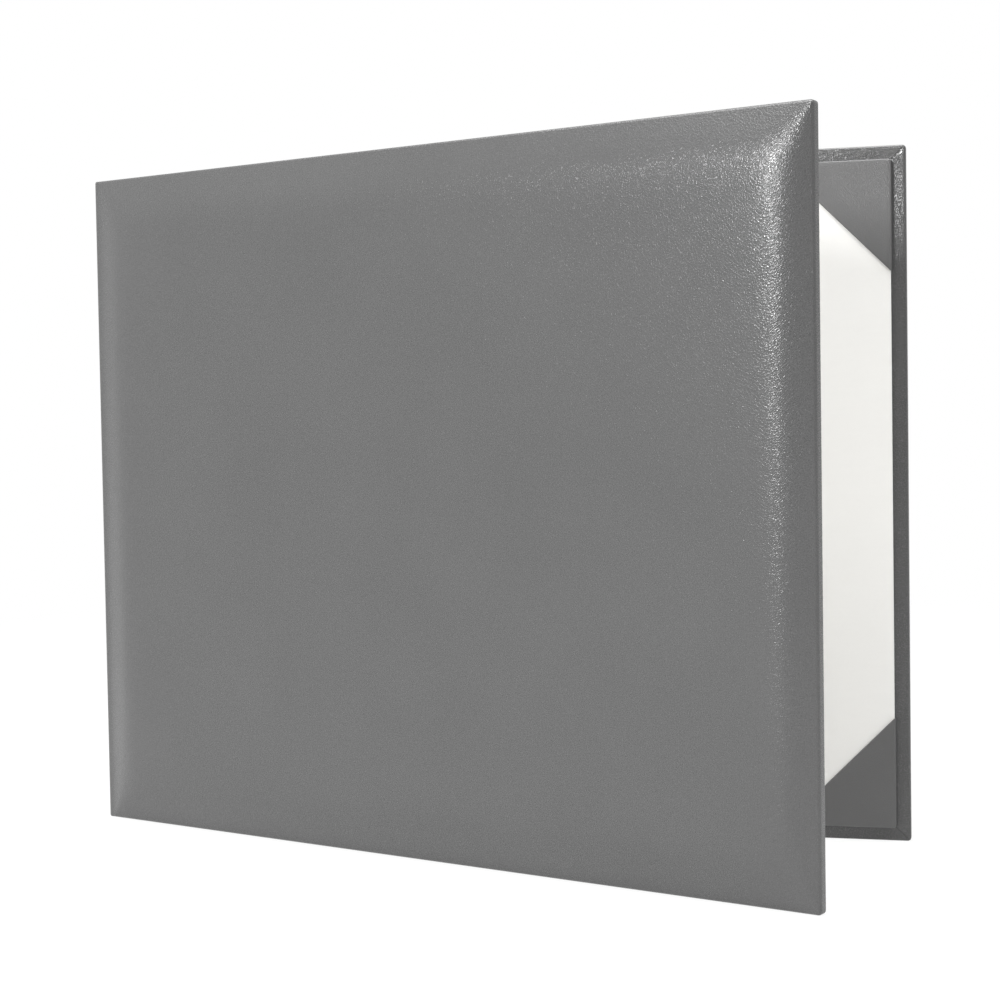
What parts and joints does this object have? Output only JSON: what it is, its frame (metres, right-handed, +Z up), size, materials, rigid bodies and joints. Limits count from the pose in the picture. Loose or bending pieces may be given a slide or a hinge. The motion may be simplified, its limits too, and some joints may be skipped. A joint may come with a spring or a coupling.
{
  "type": "padded diploma cover",
  "caption": "Landscape padded leatherette diploma cover, opened like a book and standing on its tail edges, with corner pockets on a white inner panel.",
  "frame": {"origin": "middle of the footprint's box, on the surface that the cover stands on", "axes": "+X along the back cover from the spine to its fore edge, +Y out of the back cover's outer face, +Z up from tail to head"},
  "size_m": [0.2688, 0.1032, 0.2159],
  "materials": {
    "leatherette": "satin",
    "pocket_leatherette": "satin",
    "greyboard": "matte",
    "foam": "matte",
    "panel_paper": "matte"
  },
  "bodies": {
    "back_cover": {"back_board": "greyboard", "back_wrap": "leatherette", "back_liner_panel": "panel_paper", "corner_pocket_fore_tail": "pocket_leatherette", "corner_pocket_fore_head": "pocket_leatherette", "corner_pocket_spine_head": "pocket_leatherette", "corner_pocket_spine_tail": "pocket_leatherette"},
    "spine": {"spine_wrap": "leatherette", "spine_lining": "leatherette"},
    "front_cover": {"front_board": "greyboard", "front_pad": "foam", "front_wrap": "leatherette", "front_liner_panel": "panel_paper"}
  },
  "joints": [
    {"name": "back_fold", "type": "hinge", "parent": "back_cover", "child": "spine", "pos_m": [-0.13231, 0.05138, 0.10795], "axis": [0, 0, -1], "range_deg": [-10, 80]},
    {"name": "front_fold", "type": "hinge", "parent": "spine", "child": "front_cover", "pos_m": [-0.13422, 0.04055, 0.10795], "axis": [0, 0, -1], "range_deg": [-10, 80]}
  ]
}
